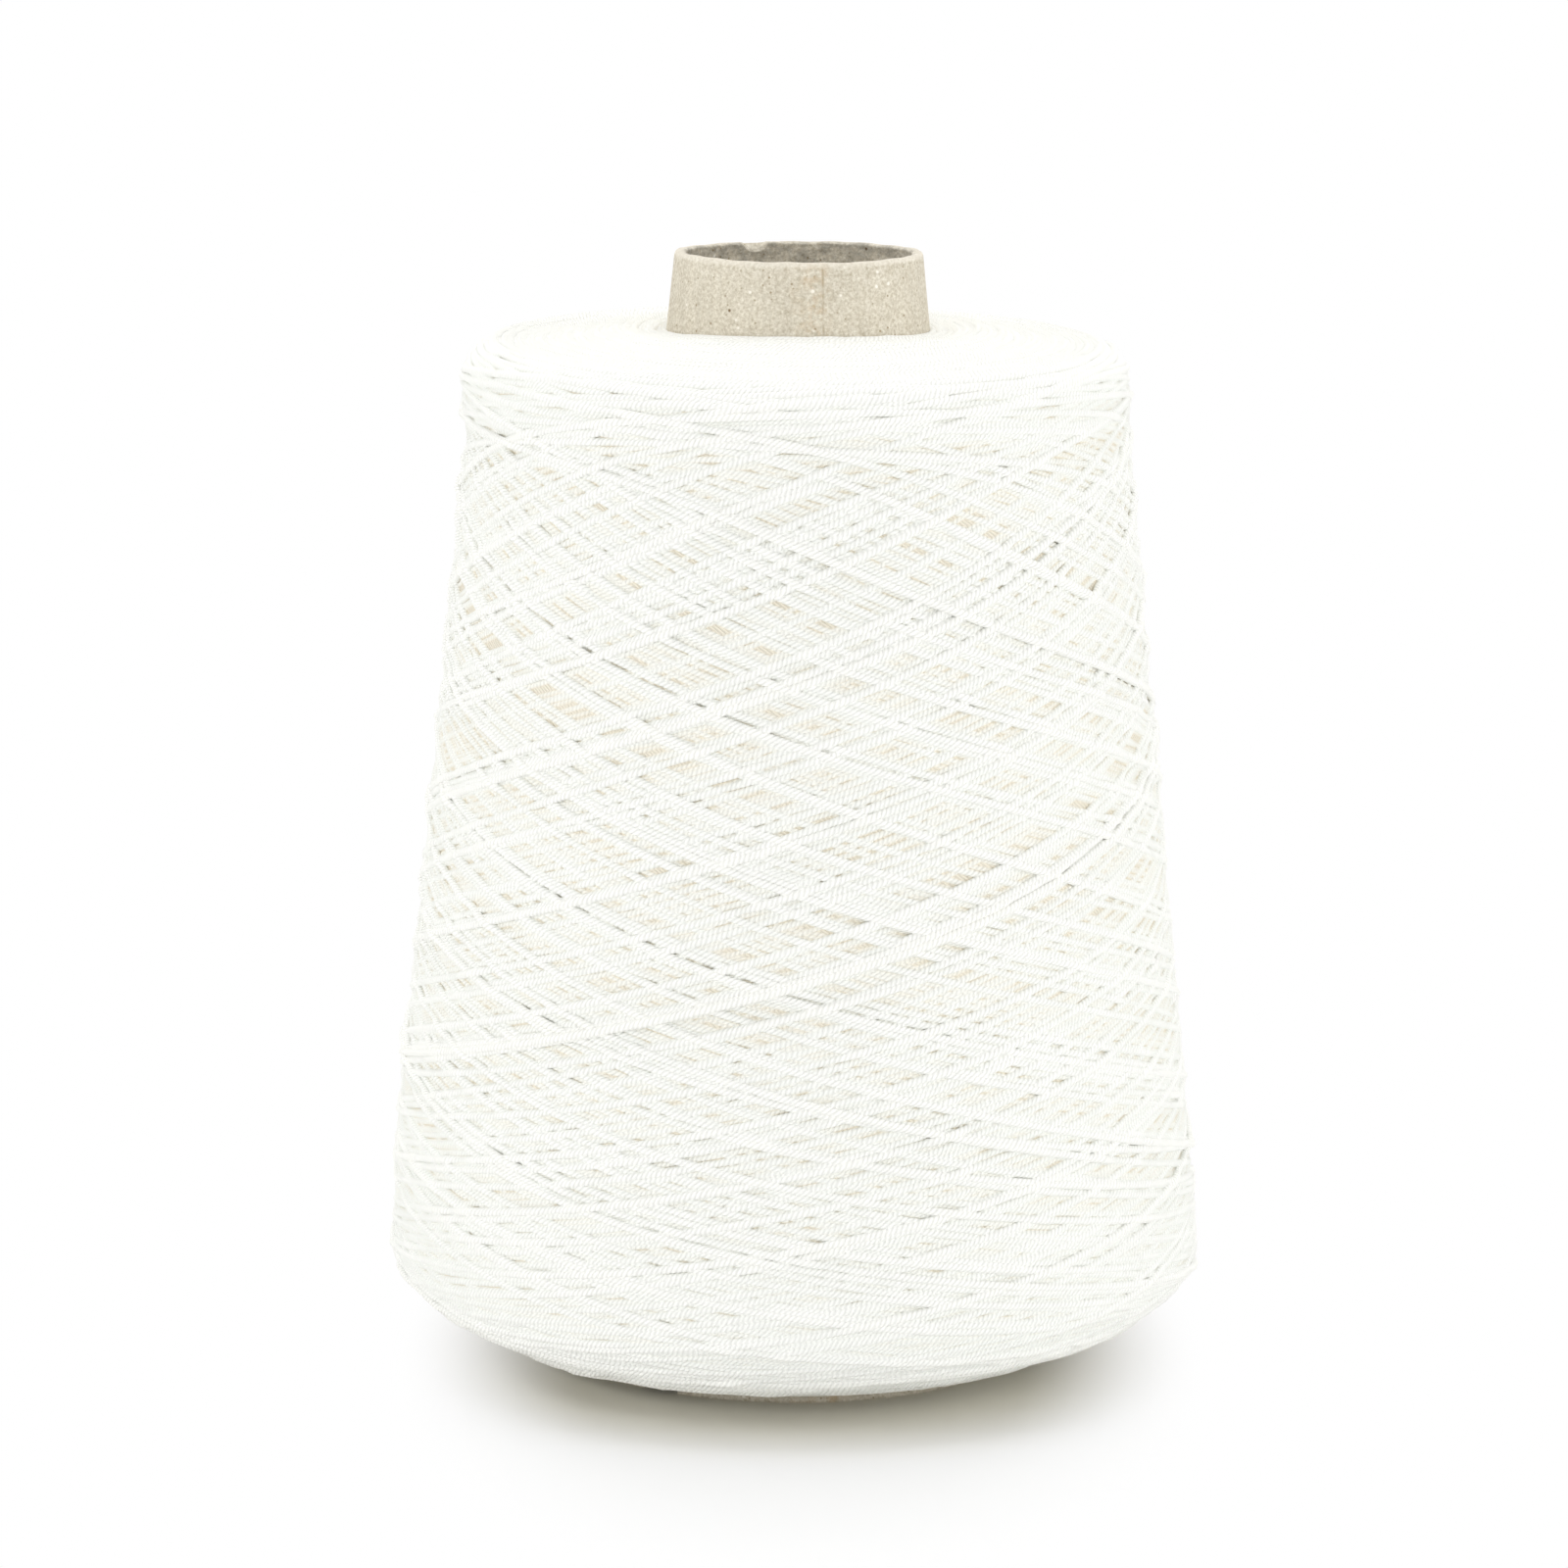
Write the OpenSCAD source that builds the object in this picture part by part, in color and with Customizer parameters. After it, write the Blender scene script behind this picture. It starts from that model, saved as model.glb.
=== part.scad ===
// Cross-wound cone of plied cotton thread on a rolled paperboard cone.
// Millimetres, +Z up. The origin is the middle of the cone's foot, and the front faces -Y.
// The thread is one strand. Its hidden turns are one solid, and the turns that lie
// outermost are a second one: a single unbroken tube that winds up and down over the first.

/* [Paper cone] */
// Length of the cone along its axis
cone_length = 170; // [150:1:200]
// Angle between the cone's side and its axis, in degrees
cone_half_angle = 5.95; // [3.5:0.05:9.25]
// Outside diameter at the nose
nose_diameter = 37.5; // [30:0.5:50]
// Thickness of the rolled board
board_thickness = 1.7; // [1.2:0.1:2.5]
// Radius of the burnished edges of the nose
nose_round = 0.7; // [0.1:0.05:0.9]

/* [Lap seam] */
// Angle of the seam round the axis, from +X
seam_angle = 281; // [0:1:359]
// Width of the line that the edge of the board leaves
seam_width = 0.5; // [0.3:0.1:1.5]
// Depth of that line
seam_depth = 0.2; // [0.1:0.05:0.5]

/* [Tail slot in the foot] */
// Angle of the slot round the axis, from +X
slot_angle = 237; // [0:1:359]
// Width of the slot
slot_width = 5.8; // [3:0.1:9]
// Height of the slot above the foot
slot_height = 7; // [5:0.5:12]

/* [Nick in the nose] */
// Angle of the nick round the axis, from +X
nick_angle = 113; // [0:1:359]
// Width of the nick at the rim
nick_width = 4; // [2:0.1:6]
// Depth of the nick below the rim
nick_depth = 1.2; // [0.4:0.1:2]

/* [Thread package] */
// Depth of the wound thread, measured out from the paper
wound_depth = 28.75; // [15:0.25:45]
// Length of paper left bare at the nose
bare_nose = 10.5; // [6:0.5:25]
// Length of paper left bare at the foot
bare_foot = 2.4; // [1:0.1:8]
// Angle at which the top face falls away from the paper, in degrees
top_fall = 8; // [0:0.5:20]
// Reach of the rounding at the top edge
top_round = 3; // [1:0.5:8]
// Width of the level ring of thread round the foot
foot_ring = 4; // [1:0.5:8]
// Angle at which the underside rises away from that ring, in degrees
underside_rise = 16; // [4:0.5:25]
// Reach of the rounding above the bottom edge
bottom_round = 5; // [2:0.5:12]

/* [Outer turns] */
// Diameter of the thread
thread_diameter = 1.2; // [0.8:0.1:1.4]
// Number of times that the outer turns climb and come down again
double_strokes = 8; // [4:1:8]
// Clear gap between a turn and the turn that crosses over it
crossing_gap = 0.55; // [0.5:0.05:1]
// Distance from the turning points to the rounded edges
edge_margin = 1.2; // [0.5:0.1:6]

/* [Hidden] */

paper_color = [0.80, 0.76, 0.68];
core_color = [0.93, 0.91, 0.84];
winding_color = [0.99, 0.98, 0.94];

past = 1;                  // how far a cutting tool runs past what it cuts
round_steps = 8;           // straight steps in a rounded edge
seat_gap = 0.02;           // gap between the thread's solid and the paper it is wound on
lay_gap = 0.05;            // gap between the outer turns and what they lie on
loops_per_stroke = 3;      // whole loops that a climb and its return nearly take
rings_per_loop = 24;
sides = 6;

taper = tan(cone_half_angle);
thread_radius = thread_diameter / 2;

// Outside radius of the paper at a height
function paper_radius(z) = nose_diameter / 2 + (cone_length - z) * taper;
// Outside radius of the finished package at a height on its side
function package_radius(z) = paper_radius(z) + wound_depth;

// Straight chords between the rings cut inside the true circle by this much
chord_sag = package_radius(0) * (1 - cos(180 / rings_per_loop));
// Height of the thread's centre over the core, in the lower and the upper layer
lower_height = chord_sag + lay_gap + thread_radius;
upper_height = lower_height + thread_diameter + crossing_gap;
winding_depth = upper_height + thread_radius;
// Radius of the core's side at a height
function core_radius(z) = package_radius(z) - winding_depth;

// Curve from one side of a corner to the other, as [radius, height] points
function rounded(from, corner, to) = [
    for (i = [0:round_steps])
        let (t = i / round_steps)
            (1 - t) * (1 - t) * from + 2 * t * (1 - t) * corner + t * t * to
];

// Top edge, where the falling top face meets the side
package_top = cone_length - bare_nose;
top_slope = tan(top_fall);
top_run = core_radius(0) - paper_radius(package_top);
top_corner_z = (package_top - top_slope * top_run) / (1 - top_slope * taper);
function top_face_z(r) = package_top - top_slope * (r - paper_radius(package_top));

// Bottom edge, where the rising underside meets the side
foot_radius = paper_radius(bare_foot) + foot_ring;
rise_slope = tan(underside_rise);
bottom_corner_z = (bare_foot + rise_slope * (core_radius(0) - foot_radius)) / (1 + rise_slope * taper);

// Heights between which the side is straight, and where the outer turns turn back
side_bottom_z = bottom_corner_z + bottom_round;
side_top_z = top_corner_z - top_round;
lower_turn_z = side_bottom_z + edge_margin;
upper_turn_z = side_top_z - edge_margin;

// Rolled and glued board, open at both ends, with burnished edges at the nose
module paper_cone() {
    inner = board_thickness / cos(cone_half_angle);
    nose = nose_diameter / 2;
    color(paper_color)
        difference() {
            rotate_extrude($fn = 180)
                polygon(concat(
                    [[paper_radius(0) - inner, 0], [paper_radius(0), 0]],
                    rounded([paper_radius(cone_length - nose_round), cone_length - nose_round],
                            [nose, cone_length], [nose - nose_round, cone_length]),
                    rounded([nose - inner + nose_round, cone_length], [nose - inner, cone_length],
                            [paper_radius(cone_length - nose_round) - inner, cone_length - nose_round])
                ));
            seam_line();
            tail_slot();
            rim_nick();
        }
}

// Line down the side where the outer edge of the board is glued
module seam_line() {
    rotate([0, 0, seam_angle])
        translate([paper_radius(0), 0, 0])
            rotate([0, -cone_half_angle, 0])
                translate([-seam_depth, -seam_width / 2, -past])
                    cube([seam_depth + past, seam_width, cone_length / cos(cone_half_angle) + 2 * past]);
}

// Slot in the foot that catches the tail of the thread, with a round top
module tail_slot() {
    from_radius = paper_radius(slot_height) - 2 * board_thickness - past;
    straight = slot_height - slot_width / 2;
    rotate([0, 0, slot_angle])
        translate([from_radius, 0, 0])
            rotate([90, 0, 90])
                linear_extrude(paper_radius(0) + past - from_radius) {
                    translate([-slot_width / 2, -past])
                        square([slot_width, straight + past]);
                    translate([0, straight])
                        circle(d = slot_width, $fn = 48);
                }
}

// Shallow round nick worn into the rim of the nose
module rim_nick() {
    nick_radius = (nick_width * nick_width / 4 + nick_depth * nick_depth) / (2 * nick_depth);
    rotate([0, 0, nick_angle])
        translate([nose_diameter / 2 - 2 * board_thickness, 0, cone_length - nick_depth + nick_radius])
            rotate([0, 90, 0])
                cylinder(h = 2 * board_thickness + past, r = nick_radius, $fn = 64);
}

// All the turns that the outer ones cover, wound tight on the paper
module thread_core() {
    color(core_color)
        rotate_extrude($fn = 180)
            polygon(concat(
                [[paper_radius(bare_foot) + seat_gap, bare_foot]],
                rounded([foot_radius, bare_foot], [core_radius(bottom_corner_z), bottom_corner_z],
                        [core_radius(side_bottom_z), side_bottom_z]),
                rounded([core_radius(side_top_z), side_top_z], [core_radius(top_corner_z), top_corner_z],
                        [core_radius(top_corner_z) - top_round,
                         top_face_z(core_radius(top_corner_z) - top_round)]),
                [[paper_radius(package_top) + seat_gap, package_top]]
            ));
}

// Route of the outer turns. One stroke up and down takes a little under three loops, so each
// one starts beside the last and the strokes share out the circle evenly. The thread climbs
// in the lower layer and comes down in the upper one, and changes layer where it turns back.
loops_each = loops_per_stroke - 1 / double_strokes;
loops = loops_each * double_strokes;
middle_z = (lower_turn_z + upper_turn_z) / 2;
reach_z = (upper_turn_z - lower_turn_z) / 2;
tuck_angle = 90;           // where the thread comes up through the core and goes back in
change_share = 0.1;        // part of the climbing speed below which the layer changes

function stroke_angle(turn) = 360 * turn / loops_each;
function strand_z(turn) = middle_z - reach_z * cos(stroke_angle(turn));
function limited(x) = max(0, min(1, x));
function eased(x) = x * x * (3 - 2 * x);
// 0 in the lower layer and 1 in the upper one
function layer(turn) = eased(limited(0.5 - sin(stroke_angle(turn)) / change_share / 2));
function strand_height(turn) = lower_height + (upper_height - lower_height) * layer(turn);
function strand_angle(turn) = tuck_angle + 360 * turn;

// A point over the core, by its angle, its height along Z and its distance out from the side
function over_core(angle, z, out) =
    let (r = core_radius(z) + out)
        [r * cos(angle), r * sin(angle), z];
function strand_point(turn) = over_core(strand_angle(turn), strand_z(turn), strand_height(turn));
function unit(v) = v / norm(v);
function outward(angle) = [cos(angle) * cos(cone_half_angle), sin(angle) * cos(cone_half_angle), sin(cone_half_angle)];
function along_side(angle) = [-cos(angle) * taper, -sin(angle) * taper, 1];

// End of the thread: square out of the core for one diameter, then round into the winding.
// side is 1 at the start of the thread and -1 at its end.
tuck_steps = 4;
function tuck(turn, side) =
    let (out = outward(strand_angle(turn)),
         away = side * unit(strand_point(turn + 0.001) - strand_point(turn - 0.001)),
         bend = strand_height(turn) - thread_diameter,
         foot = strand_point(turn) - bend * away - (bend + thread_diameter - lay_gap) * out)
        concat(
            [foot],
            [for (i = [0:tuck_steps - 1])
                let (a = 90 * i / tuck_steps)
                    foot + (thread_diameter - lay_gap + bend * sin(a)) * out + bend * (1 - cos(a)) * away]
        );
function reversed(list) = [for (i = [len(list) - 1:-1:0]) list[i]];

first_ring = 0;
last_ring = round(loops * rings_per_loop) - 1;
route = concat(
    tuck(first_ring / rings_per_loop, 1),
    [for (i = [first_ring:last_ring]) strand_point(i / rings_per_loop)],
    reversed(tuck(last_ring / rings_per_loop, -1))
);
route_end = len(route) - 1;

// Direction of the route at a point; the ends look only along their own straight run
function heading(i) =
    i == 0 ? unit(route[1] - route[0]) :
    i == route_end ? unit(route[i] - route[i - 1]) :
    unit(unit(route[i + 1] - route[i]) + unit(route[i] - route[i - 1]));
function ring(i) =
    let (forward = heading(i),
         up = along_side(atan2(route[i].y, route[i].x)),
         a = unit(up - (up * forward) * forward),
         b = cross(forward, a))
        [for (j = [0:sides - 1]) route[i] + thread_radius * (cos(360 * j / sides) * a + sin(360 * j / sides) * b)];

// The outermost turns: one unbroken thread with both ends tucked into the core
module outer_winding() {
    last = route_end * sides;
    color(winding_color)
        polyhedron(
            points = [for (i = [0:route_end]) each ring(i)],
            faces = concat(
                [for (j = [1:sides - 2]) [0, j, j + 1]],
                [for (j = [1:sides - 2]) [last, last + j + 1, last + j]],
                [for (i = [0:route_end - 1], j = [0:sides - 1])
                    let (k = i * sides, n = (j + 1) % sides)
                        each [[k + j, k + sides + n, k + n], [k + j, k + sides + j, k + sides + n]]]
            )
        );
}

// Least gap of the outer thread to itself: between each stretch and the stretches of the
// other loops that pass within a ring's step of it
function between(p, u, q, v) =
    let (w = p - q, a = u * u, b = u * v, c = v * v, d = u * w, e = v * w,
         s = limited((b * e - c * d) / max(a * c - b * b, 0.0001)),
         t = limited((b * s + e) / c),
         s2 = limited((b * t - d) / a))
        norm(w + s2 * u - t * v);
points = [for (i = [first_ring:last_ring]) strand_point(i / rings_per_loop)];
spacing = min([
    for (i = [0:len(points) - 2], loop = [1:ceil(loops)], step = [-1:1])
        let (k = i + loop * rings_per_loop + step)
            if (k < len(points) - 1)
                between(points[i], points[i + 1] - points[i], points[k], points[k + 1] - points[k])
]);
echo(str("Outer thread: ", loops, " loops, least gap to itself ", spacing - thread_diameter, " mm"));

paper_cone();
thread_core();
outer_winding();
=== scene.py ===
"""A cone of cross-wound cotton thread on its paperboard cone, standing on a pale studio floor."""
import math

import bmesh
import bpy
import numpy as np
from mathutils import Matrix, Vector


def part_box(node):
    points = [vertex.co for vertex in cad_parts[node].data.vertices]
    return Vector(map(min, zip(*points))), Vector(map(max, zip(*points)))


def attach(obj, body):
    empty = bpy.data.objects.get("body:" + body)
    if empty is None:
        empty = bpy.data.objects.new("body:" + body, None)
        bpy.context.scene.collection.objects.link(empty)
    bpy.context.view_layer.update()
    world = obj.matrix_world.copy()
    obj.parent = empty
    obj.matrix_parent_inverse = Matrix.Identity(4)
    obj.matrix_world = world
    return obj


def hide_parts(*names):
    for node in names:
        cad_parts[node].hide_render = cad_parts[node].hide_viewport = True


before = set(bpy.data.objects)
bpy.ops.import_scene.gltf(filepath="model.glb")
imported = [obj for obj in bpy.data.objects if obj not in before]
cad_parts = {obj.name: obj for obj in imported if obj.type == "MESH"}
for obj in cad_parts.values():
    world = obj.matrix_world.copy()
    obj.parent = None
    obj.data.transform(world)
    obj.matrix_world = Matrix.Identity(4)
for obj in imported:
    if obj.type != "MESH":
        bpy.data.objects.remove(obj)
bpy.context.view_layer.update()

# Sizes are written in millimetres, and this turns them into Blender's metres.
MM = 0.001


# --- Camera ---------------------------------------------------------------------------------
# A long lens a metre in front of the cone and a little above it, tipped down by 10.9 degrees
# and turned a fraction about its own axis, so that the cone leans very slightly to the right.
CAMERA_BACK = 1000.0
CAMERA_HEIGHT = 281.0
CAMERA_TILT = math.radians(10.915)
CAMERA_ROLL = math.radians(0.385)
LENS = 151.96
SENSOR_WIDTH = 36.0
FRAME_WIDTH_PX = 1600
AXIS_COLUMN_PX = 811.6

camera = bpy.data.objects.new("camera", bpy.data.cameras.new("camera"))
camera.data.lens = LENS
camera.data.sensor_width = SENSOR_WIDTH
camera.data.shift_x = (FRAME_WIDTH_PX / 2 - AXIS_COLUMN_PX) / FRAME_WIDTH_PX
camera.location = (0, -CAMERA_BACK * MM, CAMERA_HEIGHT * MM)
camera.rotation_mode = "QUATERNION"
look = Matrix.Rotation(math.pi / 2 - CAMERA_TILT, 4, "X") @ Matrix.Rotation(CAMERA_ROLL, 4, "Z")
camera.rotation_quaternion = look.to_quaternion()
bpy.context.scene.collection.objects.link(camera)
bpy.context.scene.camera = camera


# --- Paper cone -----------------------------------------------------------------------------
# The former that the thread is wound on: grey-beige recycled board, rolled round a mandrel and
# glued, with its nose burnished round. It is spun from its wall's profile, then given the small
# unevenness of rolled board, the lap of its outer ply, the nick in its rim and its tail slot.
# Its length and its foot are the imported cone's, to a hundredth of a millimetre
cone_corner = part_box("paper_cone")[1]
CONE_LENGTH = round(cone_corner[2] / MM, 2)
CONE_TAPER = math.tan(math.radians(5.95))
NOSE_RADIUS = round(cone_corner[0] / MM - CONE_LENGTH * CONE_TAPER, 2)
WALL = 1.7
RIM_ROUND = 0.45
RIM_ROUND_POINTS = 6
SPIN_STEPS = 360
# Heights between which the wall has rows of points, and how many: closest where it is bare
WALL_ROWS = ((CONE_LENGTH - RIM_ROUND, 150, 40), (145, 10, 28), (8, 0, 12))

# Rolled board is a little oval, with slight flats that lean as they go up
OVAL_DEPTH = 0.10
OVAL_SHIFT = 0.7
FLATS = 5
FLATS_DEPTH = 0.04
FLATS_LEAN = 40.0
# The lap's step at the seam, and how many radians it takes to run out
SEAM_ANGLE = math.radians(281)
SEAM_STEP = 0.16
SEAM_FADE = 1.2

# The worn rim: how far down its unevenness reaches, then the height, the number round the rim
# and the shift of each wave
RIM_REACH = 12.0
RIM_RISE = 0.32
RIM_WAVES = ((-0.33, 1, 0), (0.06, 2, 1), (0.05, 7, 0), (0.04, 19, 2))
# The nick is deepest on the rim's inner edge, and this share of it is left on the outer edge
NICK_ANGLE = math.radians(113)
NICK_HALF_WIDTH = 2.1
NICK_DEPTH = 1.5
NICK_OUTER_SHARE = 0.15

SLOT_ANGLE = math.radians(237)
SLOT_WIDTH = 5.8
SLOT_HEIGHT = 7.0
CUTTER_LENGTH = 12.0


def paper_radius(z):
    """Outside radius of the paper cone at a height, in millimetres."""
    return NOSE_RADIUS + (CONE_LENGTH - z) * CONE_TAPER


def from_srgb(code):
    """Linear colour of an sRGB hex code."""
    parts = [int(code[i:i + 2], 16) / 255 for i in (1, 3, 5)]
    return [p / 12.92 if p <= 0.04045 else ((p + 0.055) / 1.055) ** 2.4 for p in parts] + [1.0]


def add_node(tree, kind, values=(), links=(), **settings):
    """Adds a shader node: values go to its sockets, and links join its sockets to others' outputs."""
    node = tree.nodes.new("ShaderNode" + kind)
    for key, value in settings.items():
        setattr(node, key, value)
    for key, value in dict(values).items():
        node.inputs[key].default_value = value
    for key, source in dict(links).items():
        tree.links.new(source, node.inputs[key])
    return node


def new_material(name):
    """An empty material with its output node."""
    material = bpy.data.materials.new(name)
    material.use_nodes = True
    material.node_tree.nodes.clear()
    output = add_node(material.node_tree, "OutputMaterial")
    return material, material.node_tree, output


def piece_from(bm, name):
    """Makes a bmesh into a smooth object whose place is in its mesh."""
    mesh = bpy.data.meshes.new(name)
    bm.to_mesh(mesh)
    bm.free()
    mesh.shade_smooth()
    piece = bpy.data.objects.new(name, mesh)
    bpy.context.scene.collection.objects.link(piece)
    return piece


def cone_wall_profile():
    """The wall's closed outline as (radius, height), up the outside and down the inside."""
    rows = np.concatenate([np.linspace(*part) for part in WALL_ROWS])
    outside = [(paper_radius(z), z) for z in rows[::-1]]
    inside = [(paper_radius(z) - WALL, z) for z in rows]
    turn = np.linspace(0, math.pi / 2, RIM_ROUND_POINTS)[1:]
    inset = RIM_ROUND * (1 - np.cos(turn))
    top = CONE_LENGTH - RIM_ROUND * (1 - np.sin(turn))
    outer_corner = list(zip(NOSE_RADIUS - inset, top))
    inner_corner = list(zip(NOSE_RADIUS - WALL + inset, top))[::-1]
    return outside + outer_corner + inner_corner + inside


bm = bmesh.new()
outline = [bm.verts.new((r * MM, 0, z * MM)) for r, z in cone_wall_profile()]
edges = [bm.edges.new(pair) for pair in zip(outline, outline[1:] + outline[:1])]
bmesh.ops.spin(
    bm, geom=outline + edges, cent=(0, 0, 0), axis=(0, 0, 1), dvec=(0, 0, 0),
    angle=2 * math.pi, steps=SPIN_STEPS, use_merge=True,
)
bmesh.ops.remove_doubles(bm, verts=bm.verts, dist=0.001 * MM)
for v in bm.verts:
    angle = math.atan2(v.co.y, v.co.x)
    height = v.co.z / MM
    radius = math.hypot(v.co.x, v.co.y) / MM
    past_seam = (angle - SEAM_ANGLE) % (2 * math.pi)
    if radius > paper_radius(height) - WALL / 2:
        radius -= SEAM_STEP * max(0, 1 - past_seam / SEAM_FADE)
    oval = OVAL_DEPTH * math.cos(2 * angle + OVAL_SHIFT)
    flats = FLATS_DEPTH * math.cos(FLATS * angle + height / FLATS_LEAN)
    radius += oval + flats
    from_top = CONE_LENGTH - height
    if from_top < RIM_REACH:
        near_rim = 1 - from_top / RIM_REACH
        waves = [size * math.sin(count * angle + shift) for size, count, shift in RIM_WAVES]
        height += near_rim ** 2 * (RIM_RISE + sum(waves))
        past_nick = (angle - NICK_ANGLE + math.pi) % (2 * math.pi) - math.pi
        across = past_nick * NOSE_RADIUS / NICK_HALF_WIDTH
        if abs(across) < 1:
            inward = min(1, max(NICK_OUTER_SHARE, (paper_radius(height) - radius) / WALL))
            height -= NICK_DEPTH * inward * near_rim ** 6 * math.sqrt(1 - across * across)
    v.co = (radius * math.cos(angle) * MM, radius * math.sin(angle) * MM, height * MM)
bmesh.ops.recalc_face_normals(bm, faces=bm.faces)
paper_cone = piece_from(bm, "paper_cone_board")

# The tail slot is cut from the foot up by a block with a round bar along its top.
slot_centre = SLOT_HEIGHT - SLOT_WIDTH / 2
bm = bmesh.new()
block = Matrix.Diagonal((CUTTER_LENGTH, SLOT_WIDTH, 2 * slot_centre, 1))
bmesh.ops.create_cube(bm, size=1, matrix=block)
slot_block = piece_from(bm, "slot_block")
bm = bmesh.new()
bmesh.ops.create_cone(
    bm, cap_ends=True, segments=48, radius1=SLOT_WIDTH / 2, radius2=SLOT_WIDTH / 2, depth=CUTTER_LENGTH,
    matrix=Matrix.Translation((0, 0, slot_centre)) @ Matrix.Rotation(math.pi / 2, 4, "Y"),
)
slot_bar = piece_from(bm, "slot_bar")
at_wall = Matrix.Translation((paper_radius(0) * MM, 0, 0)) @ Matrix.Scale(MM, 4)
for cutter in (slot_block, slot_bar):
    cutter.data.transform(Matrix.Rotation(SLOT_ANGLE, 4, "Z") @ at_wall)
    cut = paper_cone.modifiers.new("tail_slot", "BOOLEAN")
    cut.object = cutter
    cut.operation = "DIFFERENCE"
    cut.solver = "EXACT"
    with bpy.context.temp_override(object=paper_cone):
        bpy.ops.object.modifier_apply(modifier=cut.name)
    bpy.data.objects.remove(cutter)

# Recycled greyboard: matt and mottled by its pulp in grains of half a millimetre, peppered with
# dark and pale fibre specks, with faint upright drag marks from the mandrel. The outer ply's lap
# shows as a thin broken line with a brown glue stain beside it. The rim is paler, partly as
# burnished board and partly as a painted highlight where its rounded edge catches the light.
PULP_GRAIN = 0.5
PULP_RELIEF = 0.12
DRAG_WIDTH = 1.2
DRAG_STRETCH = 20
CLOUD_SIZE = 8.0
# Distance apart, size, share of the places that hold one, and colour of each kind of speck
SPECKS = ((1.1, 0.24, 0.35, "#A39478"), (2.6, 0.34, 0.22, "#7C6647"), (1.9, 0.36, 0.35, "#F7F2E8"))
# In each pair below, a colour is nothing at the first distance and full at the second. The lap
# and its stain go by the distance past the seam, taken at this radius.
LAP_RADIUS = 20.0
LAP_LINE = (0.28, 0.08)
LAP_BREAKS = 2.0
STAIN_START = (-6.5, -1.5)
STAIN_END = (1.6, 0.2)
BLOT_SIZE = 1.6
PALE_RIM_AND_HIGHLIGHT = (-0.3, 0.1)
# The inner wall goes by how far out from the mandrel it lies, and the painted shade under its rim by the
# height
INNER_SKIN = (0.9, 0.3)
WRINKLE_SIZE = 2.2
WRINKLE_SQUASH = 1.8
RIM_SHADE = (-3.0, -1.0)

board, tree, output = new_material("recycled_greyboard")
place = add_node(tree, "TexCoord").outputs["Object"]
axes = add_node(tree, "SeparateXYZ", links={"Vector": place})
pulp = add_node(
    tree, "TexNoise", {"Scale": 1 / (PULP_GRAIN * MM), "Detail": 4, "Roughness": 0.75}, {"Vector": place}
)
tone = add_node(tree, "ValToRGB", links={"Fac": pulp.outputs["Fac"]})
tone.color_ramp.elements[0].position = 0.28
tone.color_ramp.elements[0].color = from_srgb("#B2A68E")
tone.color_ramp.elements[1].position = 0.72
tone.color_ramp.elements[1].color = from_srgb("#EFEADC")
upright = add_node(tree, "Mapping", {"Scale": (1, 1, 1 / DRAG_STRETCH)}, {"Vector": place})
drag = add_node(
    tree, "TexNoise", {"Scale": 1 / (DRAG_WIDTH * MM), "Detail": 2}, {"Vector": upright.outputs["Vector"]}
)
drag = add_node(tree, "MapRange", {"To Min": 0.93, "To Max": 1.06}, {"Value": drag.outputs["Fac"]})
clouds = add_node(tree, "TexNoise", {"Scale": 1 / (CLOUD_SIZE * MM), "Detail": 3}, {"Vector": place})
clouds = add_node(tree, "MapRange", {"To Min": 0.9, "To Max": 1.08}, {"Value": clouds.outputs["Fac"]})
shade = add_node(
    tree, "Math", links={0: drag.outputs["Result"], 1: clouds.outputs["Result"]}, operation="MULTIPLY"
)
color = add_node(
    tree, "VectorMath", links={0: tone.outputs["Color"], 1: shade.outputs[0]}, operation="MULTIPLY"
).outputs["Vector"]

# Each of these is how much of a colour lies over the ones before it.
layers = []
for apart, size, share, code in SPECKS:
    cells = add_node(tree, "TexVoronoi", {"Scale": 1 / (apart * MM)}, {"Vector": place})
    near = add_node(
        tree, "MapRange", {"From Min": size / apart, "From Max": 0.5 * size / apart},
        {"Value": cells.outputs["Distance"]},
    )
    pick = add_node(tree, "SeparateColor", links={"Color": cells.outputs["Color"]})
    pick = add_node(tree, "Math", {1: share}, {0: pick.outputs["Red"]}, operation="LESS_THAN")
    speck = add_node(
        tree, "Math", links={0: near.outputs["Result"], 1: pick.outputs[0]}, operation="MULTIPLY"
    )
    layers.append((speck.outputs[0], code))

bearing = add_node(tree, "Math", links={0: axes.outputs["Y"], 1: axes.outputs["X"]}, operation="ARCTAN2")
beside_seam = add_node(
    tree, "Math", {1: LAP_RADIUS * MM, 2: (2 * math.pi - SEAM_ANGLE) * LAP_RADIUS * MM},
    {0: bearing.outputs[0]}, operation="MULTIPLY_ADD",
).outputs[0]
stain_start, stain_end = (
    add_node(tree, "MapRange", {"From Min": start * MM, "From Max": end * MM}, {"Value": beside_seam})
    for start, end in (STAIN_START, STAIN_END)
)
blots = add_node(
    tree, "TexNoise", {"Scale": 1 / (BLOT_SIZE * MM), "Detail": 4, "Roughness": 0.7}, {"Vector": place}
)
blots = add_node(
    tree, "MapRange", {"From Min": 0.46, "From Max": 0.7, "To Max": 0.5}, {"Value": blots.outputs["Fac"]}
)
stain = add_node(
    tree, "Math", links={0: stain_start.outputs["Result"], 1: stain_end.outputs["Result"]},
    operation="MULTIPLY",
)
stain = add_node(
    tree, "Math", links={0: stain.outputs[0], 1: blots.outputs["Result"]}, operation="MULTIPLY"
)
layers.append((stain.outputs[0], "#BE9F72"))

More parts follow.
